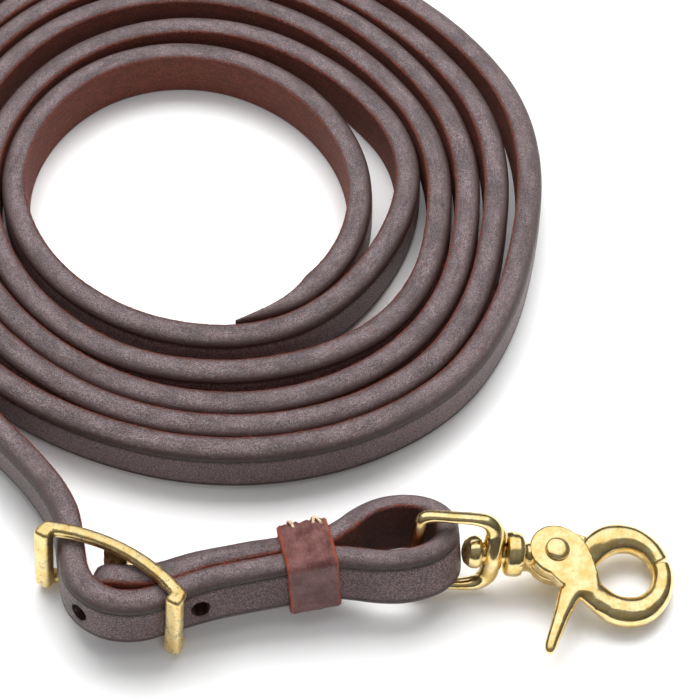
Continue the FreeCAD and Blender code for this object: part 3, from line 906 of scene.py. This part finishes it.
# Turned shank of the snap: distance along the axis, radius.
SHANK = ((7.72, .3), (7.8, 1.0), (8.15, 1.9), (8.8, 2.5), (9.6, 2.8), (10.3, 2.78),
         (10.75, 2.5), (10.8, SHANK_R), (14.8, SHANK_R), (14.85, 3.2), (15.1, 3.6),
         (15.8, 3.8), (16.9, 3.8), (17.6, 3.6), (17.85, 3.2), (17.9, 2.4), (18.4, 2.15),
         (19.2, 2.1), (20.4, 1.7))
DISC_R = 4.65
DISC_FACE = 2.3
SPLIT = .1
RING_AT = Vector((35.3, -2.75, 0))
RING_A = 6.5
RING_B = 6.75
SEAM = 20
# Ring: angle (degrees), half width, half depth, height of its middle.
ARM_KEYS = ((SEAM, 1.9, 1.95, 0), (45, 2.05, 2.05, 0), (75, 2.4, 2.05, 0),
            (105, 2.65, 2.0, -.1), (130, 2.5, 1.8, -.35), (150, 2.1, 1.3, -.85),
            (166, 1.5, .95, -1.1))
JAW_KEYS = ((203, 1.9, 1.7, .25), (222, 2.25, 2.0, .05), (250, 2.55, 2.15, 0),
            (275, 2.6, 2.15, 0), (300, 2.4, 2.1, 0), (330, 2.05, 2.0, 0),
            (357, 1.9, 1.95, 0), (SEAM - 2.6 + 360, 1.85, 1.9, 0))
GATE = ((24.6, 4.3), (27.2, 3.2), (28.6, 1.4), (29.4, -.6), (30.0, -2.9), (30.5, -4.8),
        (30.0, -6.6), (28.2, -7.4), (26.2, -7.2), (24.2, -6.2), (22.0, -3.9), (21.0, -1.0),
        (21.6, 2.2))
GATE_KEYS = ((27.0, -3.4, 1.15, 2.4, 1.1), (28.4, -5.6, 1.0, 2.5, 1.2),
             (30.2, -7.5, .7, 2.4, 1.5), (32.4, -8.8, .3, 2.4, 1.8),
             (34.5, -9.4, 0, 2.4, 2.0))
LEVER_KEYS = ((27.2, -4.4, 1.15, 2.2, 1.05), (25.6, -7.0, 1.1, 2.0, 1.15),
              (24.2, -10.0, 1.0, 1.5, 1.1), (23.1, -12.8, .95, 1.25, 1.05),
              (22.1, -15.4, .9, 1.1, .95), (21.5, -17.2, .9, .95, .85),
              (21.25, -18.0, .9, .5, .5))


def ring_keys(keys):
    """Points of the ring's centre line for keys by angle."""
    made = []
    for angle, wide, deep, z in keys:
        t = math.radians(angle)
        made.append((RING_AT.x + RING_A * math.cos(t), RING_AT.y + RING_B * math.sin(t), z,
                     wide, deep))
    return made


def eye_mesh():
    """Swivel eye: bar, two arms and the plate, bored for the shank."""
    bm = bmesh.new()
    add_limb(bm, EYE_KEYS, EYE, (0, 1, 0), closed=True)
    obj = cast("eye", bm, .18, 4)
    bore = bar_mesh(EYE @ Vector((12.9, 0, 0)), EYE.to_3x3() @ Vector((1, 0, 0)),
                    SHANK_R + .06, 8)
    cut_out(obj, bore)
    obj.data.shade_smooth()
    return obj


def snap_mesh():
    """Turned shank, rear disc and upper arm in one casting."""
    bm = bmesh.new()
    add_tube(bm, spun(SHANK), SNAP)
    add_box(bm, (18.2, -2.2, -2.0), (22.4, 2.2, -SPLIT), SNAP)
    disc = ((-DISC_FACE, DISC_R - .3), (-DISC_FACE + .25, DISC_R), (-SPLIT, DISC_R))
    add_tube(bm, spun(disc, PIVOT, True), SNAP)
    add_limb(bm, ring_keys(ARM_KEYS), SNAP, (0, 0, 1))
    add_plate(bm, ((23.5, 4.2), (28.6, 4.4), (31.0, 2.2), (30.2, -.6), (27.0, -2.4),
                   (23.0, -2.0)), -2.0, -SPLIT - .1, SNAP)
    return cast("snap", bm, .15, 5)


def trigger_mesh():
    """Front disc, gate, thumb lever and lower jaw in one casting."""
    bm = bmesh.new()
    disc = ((SPLIT, DISC_R), (DISC_FACE - .35, DISC_R), (DISC_FACE - .08, DISC_R - .22),
            (DISC_FACE, DISC_R - .6))
    add_tube(bm, spun(disc, PIVOT, True), SNAP)
    add_plate(bm, GATE, SPLIT, DISC_FACE, SNAP)
    add_limb(bm, ring_keys(JAW_KEYS), SNAP, (0, 0, 1))
    add_limb(bm, LEVER_KEYS, SNAP, (0, 0, 1))
    add_limb(bm, GATE_KEYS, SNAP, (0, 0, 1))
    return filleted(cast("trigger", bm, .15, 12))


def filleted(obj):
    """Soften the root of the lever, where gate, lever and jaw run into each other."""
    back = SNAP.inverted()
    bm = bmesh.new()
    bm.from_mesh(obj.data)
    root = []
    for v in bm.verts:
        at = back @ v.co
        if 24.0 < at.x < 33.5 and -9.8 < at.y < -3.6 and at.z > .3:
            root.append(v)
    for _ in range(45):
        bmesh.ops.smooth_vert(bm, verts=root, factor=.5, use_axis_x=True,
                              use_axis_y=True, use_axis_z=True)
    bm.to_mesh(obj.data)
    bm.free()
    obj.data.shade_smooth()
    return obj


def rivet_mesh():
    """Pivot rivet: shaft and two domed heads standing just clear of the discs."""
    bm = bmesh.new()
    head = ((DISC_FACE - .02, 1.0), (DISC_FACE + .07, 1.1), (DISC_FACE + .08, 1.9),
            (DISC_FACE + .2, 2.05), (DISC_FACE + .42, 2.02), (DISC_FACE + .62, 1.75),
            (DISC_FACE + .74, 1.1), (DISC_FACE + .78, .3))
    profile = tuple((-z, r) for z, r in reversed(head)) + head
    add_tube(bm, spun(profile, PIVOT, True), SNAP)
    mesh = bpy.data.meshes.new("rivet")
    bm.to_mesh(mesh)
    bm.free()
    obj = bpy.data.objects.new("rivet", mesh)
    scene.collection.objects.link(obj)
    fix_normals(obj)
    return obj


eye = finish_brass(eye_mesh(), "eye", "swivel_eye")
snap = finish_brass(snap_mesh(), "snap", "snap_body")
trigger = finish_brass(trigger_mesh(), "trigger", "trigger_gate")
rivet = finish_brass(rivet_mesh(), "snap", "pivot_rivet")


def dress_node(node, material):
    obj = frame["nodes"][node]
    obj.data.materials.clear()
    obj.data.materials.append(material)


dress_node("gate_spring", brass)

# ---------------------------------------------------------------- keeper
KEEPER_X = 7.5
KEEPER_LENGTH = 8.4
KEEPER_IN = (4.22, 4.86)
KEEPER_OUT = (5.22, 5.86)


def round_rectangle(share, half_y, half_z, radius):
    """Point of a rounded rectangle's outline, from the middle of its back side, and its normal."""
    straight_z, straight_y = 2 * (half_z - radius), 2 * (half_y - radius)
    arc = math.pi * radius / 2
    runs = [(straight_z / 2, 0), (arc, 1), (straight_y, 0), (arc, 1), (straight_z, 0),
            (arc, 1), (straight_y, 0), (arc, 1), (straight_z / 2, 0)]
    left = share * sum(length for length, _ in runs)
    at, heading = Vector((half_y, 0)), math.pi / 2
    for length, turns in runs:
        step = min(left, length)
        if turns:
            swing = step / radius
            middle = at + Vector((-math.sin(heading), math.cos(heading))) * radius
            offset = at - middle
            c, s = math.cos(swing), math.sin(swing)
            at = middle + Vector((c * offset.x - s * offset.y, s * offset.x + c * offset.y))
            heading += swing
        else:
            at = at + Vector((math.cos(heading), math.sin(heading))) * step
        left -= step
        if left <= 1e-9:
            break
    return at, Vector((math.sin(heading), -math.cos(heading)))


def keeper_mesh():
    """Leather band with worn corners, fine wrinkles and a raised sewn seam."""
    around, across = 120, 26
    verts, strap_at, zones, corners = [], [], [], [[], []]
    seam_share = .125
    for j in range(across):
        t = j / (across - 1)
        x = KEEPER_X + KEEPER_LENGTH * t
        rim = min(t, 1 - t) * KEEPER_LENGTH
        soft = .26 * max(0, 1 - rim / .55) ** 2
        for k in range(around):
            share = k / around
            at, normal = round_rectangle(share, *KEEPER_OUT, 1.55)
            gap = abs((share - seam_share + .5) % 1 - .5) * 40
            lump = (.62 + .5 * ripple(x * 2.1, 11, 1.3)) * math.exp(-(gap / 1.0) ** 2)
            wrinkle = .10 * noise.noise(Vector((x * .9, share * 60, 3.3)))
            wrinkle += .05 * noise.noise(Vector((x * 2.6, share * 150, 8.3)))
            out = at + normal * (wrinkle + lump * .8 - soft)
            skew = .16 * noise.noise(Vector((share * 22, 5.5 + round(t), 0))) * (1 - 4 * t * (1 - t))
            verts.append(STRAP_END @ Vector((x + skew, out.x, out.y)))
            strap_at.append((x, share * 36, 0))
            zones.append((0, 0, 0, 1 if rim < .12 else .25 if rim < .4 else 0))
            if j in (0, across - 1):
                turn = STRAP_END.to_3x3()
                outward = np.array(turn @ Vector((0, normal.x, normal.y)))
                side = np.array(turn @ Vector((-1 if j == 0 else 1, 0, 0)))
                run = np.array(turn @ Vector((0, -normal.y, normal.x)))
                corners[j > 0].append((np.array(verts[-1]), run, -outward, side))
    for j in range(across):
        t = j / (across - 1)
        for k in range(around):
            at, _ = round_rectangle(k / around, *KEEPER_IN, .7)
            verts.append(STRAP_END @ Vector((KEEPER_X + KEEPER_LENGTH * t, at.x, at.y)))
            strap_at.append((KEEPER_X + KEEPER_LENGTH * t, k / around * 36, 1))
            zones.append((0, 0, 0, 1))
    faces = []
    sheet = around * across
    for j in range(across - 1):
        for k in range(around):
            n = (k + 1) % around
            quad = (j * around + k, j * around + n, (j + 1) * around + n, (j + 1) * around + k)
            faces.append(quad)
            faces.append(tuple(sheet + q for q in quad[::-1]))
    for j in (0, across - 1):
        for k in range(around):
            n = (k + 1) % around
            faces.append((j * around + k, j * around + n, sheet + j * around + n,
                          sheet + j * around + k))
    obj = new_object("keeper_band", verts, faces)
    set_attributes(obj, strap_at, zones)
    fix_normals(obj)
    return to_metres(obj), corners


def keeper_leather():
    """Glossy red-brown leather with fine wrinkles and raw orange edges."""
    m, shader = tree("keeper_leather_look")
    place = add(m, "Attribute", attribute_name="strap").outputs["Vector"]
    fuzz = add(m, "Attribute", attribute_name="zones").outputs["Alpha"]
    blotch = noise_at(m, place, .35, 4)
    wrinkle = noise_at(m, stretched(m, place, 2.6, 1.0, 1.0), 1.1, 5, .6, .6)
    pore = noise_at(m, place, 3.6, 3, .6)
    colour = blend(m, fade(m, blotch, .35, .68), rgb(.072, .020, .017), rgb(.175, .072, .066))
    colour = blend(m, fade(m, wrinkle, .54, .70, 0.0, .5), colour, rgb(.20, .095, .085))
    colour = blend(m, fade(m, pore, .60, .76, 0.0, .6), colour, rgb(.030, .008, .007))
    broken = noise_at(m, place, 2.2, 5, .7)
    torn = maths(m, "MULTIPLY", fuzz, fade(m, broken, .36, .52), True)
    colour = blend(m, torn, colour, rgb(.42, .070, .022))
    link(m, colour, shader.inputs["Base Color"])
    link(m, maths(m, "ADD", fade(m, wrinkle, .3, .7, .24, .42),
                  maths(m, "MULTIPLY", torn, .5), True), shader.inputs["Roughness"])
    height = maths(m, "ADD", maths(m, "MULTIPLY", wrinkle, 1.6), maths(m, "MULTIPLY", pore, .5))
    link(m, bump(m, height, .00016), shader.inputs["Normal"])
    return m


def thread_material():
    m, shader = tree("waxed_thread")
    place = add(m, "TexCoord").outputs["Object"]
    twist = noise_at(m, place, 2600.0, 3, .6)
    link(m, blend(m, fade(m, twist, .35, .65), rgb(.38, .24, .13), rgb(.86, .70, .50)),
         shader.inputs["Base Color"])
    shader.inputs["Roughness"].default_value = .7
    link(m, bump(m, twist, .00012), shader.inputs["Normal"])
    return m


def stitch_mesh():
    """Threads over the seam: along the back, and a knot on top at each end."""
    bm = bmesh.new()
    starts = [(9.3, .9, .10, .16), (13.3, 1.6, .105, .165), (14.4, -.9, .10, .155),
              (8.6, .5, .02, .1), (10.6, .6, .02, .1), (12.6, .5, .02, .1)]
    for x, slant, first, last in starts:
        rings = []
        for i in range(15):
            t = i / 14
            share = first + (last - first) * t
            at, normal = round_rectangle(share, *KEEPER_OUT, 1.55)
            gap = abs(share - .125) * 40
            rise = .22 + .62 * math.exp(-(gap / 1.0) ** 2) - .5 * (2 * t - 1) ** 6
            at = at + normal * rise
            thin = .26 + .05 * ripple(t * 9 + x, 13, 1)
            run = Vector((-normal.y, normal.x))
            ring = []
            for k in range(10):
                a = 2 * math.pi * k / 10
                swing = normal * math.sin(a) * thin * .8
                ring.append((x + slant * t + thin * math.cos(a), at.x + swing.x,
                             at.y + swing.y))
            rings.append(ring)
        add_tube(bm, rings, STRAP_END)
    obj_mesh = bpy.data.meshes.new("keeper_thread")
    bm.to_mesh(obj_mesh)
    bm.free()
    obj = bpy.data.objects.new("keeper_thread", obj_mesh)
    scene.collection.objects.link(obj)
    fix_normals(obj)
    return to_metres(obj)


keeper, keeper_corners = keeper_mesh()
dress(keeper, keeper_leather(), "keeper")
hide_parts("keeper")
thread = stitch_mesh()
dress(thread, thread_material(), "keeper")
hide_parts("keeper_stitches")
for side, corner in enumerate(keeper_corners):
    edge_fibres = fibres("keeper_fibres_%d" % side, corner, 5.0, .28)
    dress(edge_fibres, frayed, "keeper")

# ---------------------------------------------------------------- floor and light
def floor_plane():
    size = 3.0
    obj = new_object("floor", [(-size, -size, -.0001), (size, -size, -.0001),
                               (size, size, -.0001), (-size, size, -.0001)],
                     [(0, 1, 2, 3)])
    m, shader = tree("floor_white")
    shader.inputs["Base Color"].default_value = rgb(.86, .86, .86)
    shader.inputs["Roughness"].default_value = .9
    shader.inputs["Specular IOR Level"].default_value = .1
    obj.data.materials.append(m)


def area_light(name, place, target, size, power, in_reflections=True):
    data = bpy.data.lights.new(name, "AREA")
    data.shape = "RECTANGLE"
    data.size, data.size_y = size
    data.energy = power
    obj = bpy.data.objects.new(name, data)
    obj.location = place
    aim = Vector(target) - Vector(place)
    obj.rotation_euler = aim.to_track_quat("-Z", "Y").to_euler()
    obj.visible_glossy = in_reflections
    scene.collection.objects.link(obj)


def world_light():
    world = bpy.data.worlds.new("studio")
    world.use_nodes = True
    nodes, links = world.node_tree.nodes, world.node_tree.links
    back = nodes["Background"]
    place = nodes.new("ShaderNodeTexCoord")
    split = nodes.new("ShaderNodeSeparateXYZ")
    ramp = nodes.new("ShaderNodeValToRGB")
    links.new(place.outputs["Generated"], split.inputs[0])
    links.new(split.outputs["Z"], ramp.inputs[0])
    links.new(ramp.outputs[0], back.inputs[0])
    ramp.color_ramp.elements[0].position = 0.0
    ramp.color_ramp.elements[0].color = (.10, .10, .10, 1)
    ramp.color_ramp.elements[1].position = .8
    ramp.color_ramp.elements[1].color = (1, 1, 1, 1)
    back.inputs[1].default_value = .25
    scene.world = world


floor_plane()
world_light()
area_light("key", (-.05, .72, 1.0), (-.02, .05, 0), (1.2, .8), 22, False)
area_light("panel", (-.05, .70, 1.30), (-.02, .05, 0), (2.4, 1.9), 15.5)
area_light("front", (.2, -.75, .6), (0, .0, 0), (.7, .4), 2.7, False)
scene.view_settings.view_transform = "Standard"
